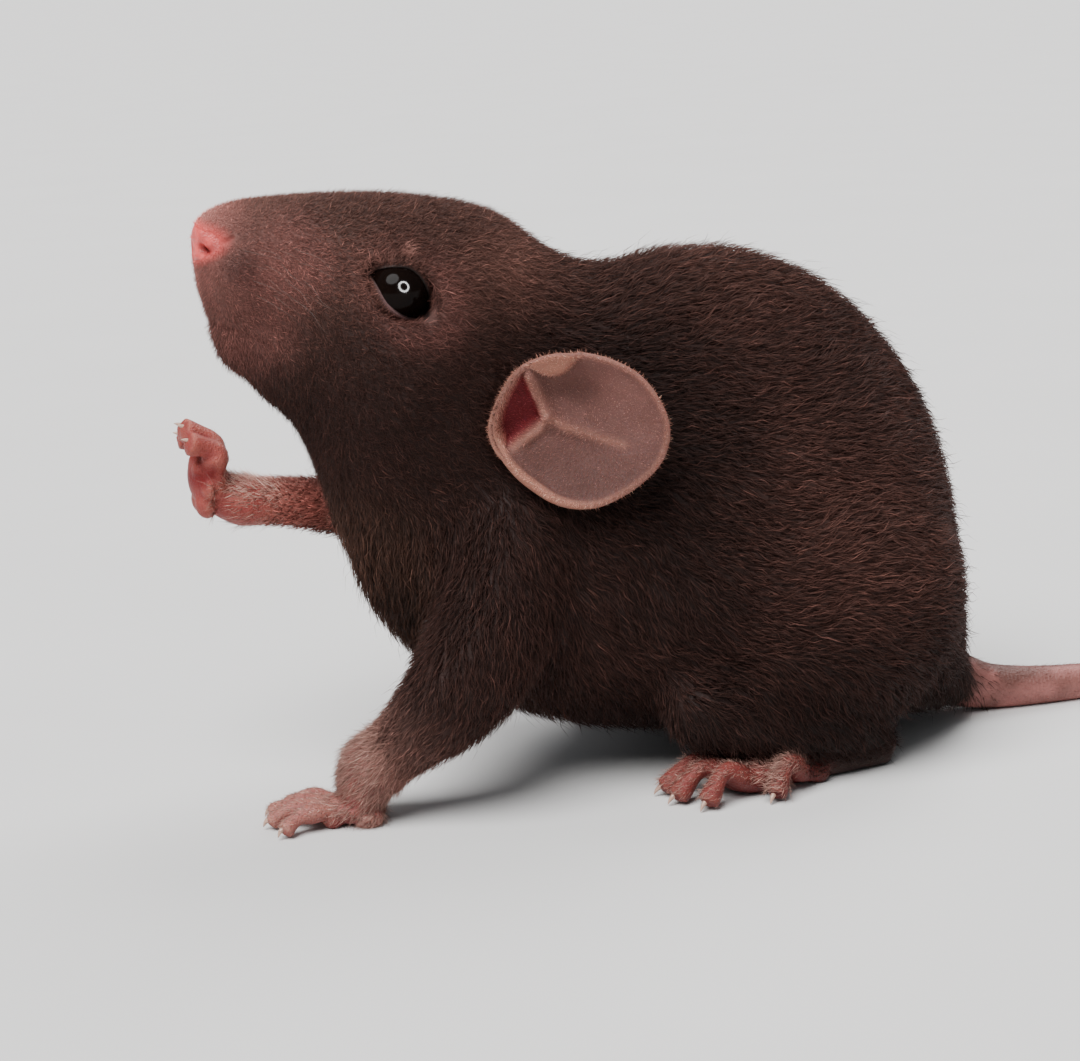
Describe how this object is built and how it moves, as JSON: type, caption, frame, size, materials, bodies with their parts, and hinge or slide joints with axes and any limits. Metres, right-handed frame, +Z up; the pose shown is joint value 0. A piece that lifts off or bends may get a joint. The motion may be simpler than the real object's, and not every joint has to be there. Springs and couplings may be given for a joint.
{
  "type": "dumbo rat",
  "caption": "Life-size young dumbo rat with large round low-set ears, sitting up with one fore paw raised, its long tail laid on the floor.",
  "frame": {"origin": "on the floor, under the middle of the bounding box", "axes": "-X is the way the rat faces and +X runs back along the tail, -Y is the rat's left side, +Z is up from the floor"},
  "size_m": [0.1624, 0.0428, 0.0598],
  "materials": {
    "coat": "short dense dark grey-brown fur",
    "bare_skin": "soft pink bare skin of nose and paws, with pale claws",
    "ears": "thin translucent pinkish brown skin with fine down",
    "tail": "ringed scaly skin with fine short hairs",
    "eyes": "wet glossy black"
  },
  "bodies": {
    "root": {"head": "coat", "lower_jaw": "coat", "nose": "bare_skin", "neck": "coat", "torso": "coat", "eye_left": "eyes", "eye_right": "eyes", "ear_left": "ears", "ear_right": "ears", "upper_arm_left": "coat", "upper_arm_right": "coat", "forearm_left": "coat", "forearm_right": "coat", "hand_left": "bare_skin", "hand_right": "bare_skin", "thigh_left": "coat", "thigh_right": "coat", "shank_left": "coat", "shank_right": "coat", "foot_left": "bare_skin", "foot_right": "bare_skin", "tail_1": "tail", "tail_2": "tail", "tail_3": "tail", "tail_4": "tail"}
  },
  "joints": []
}
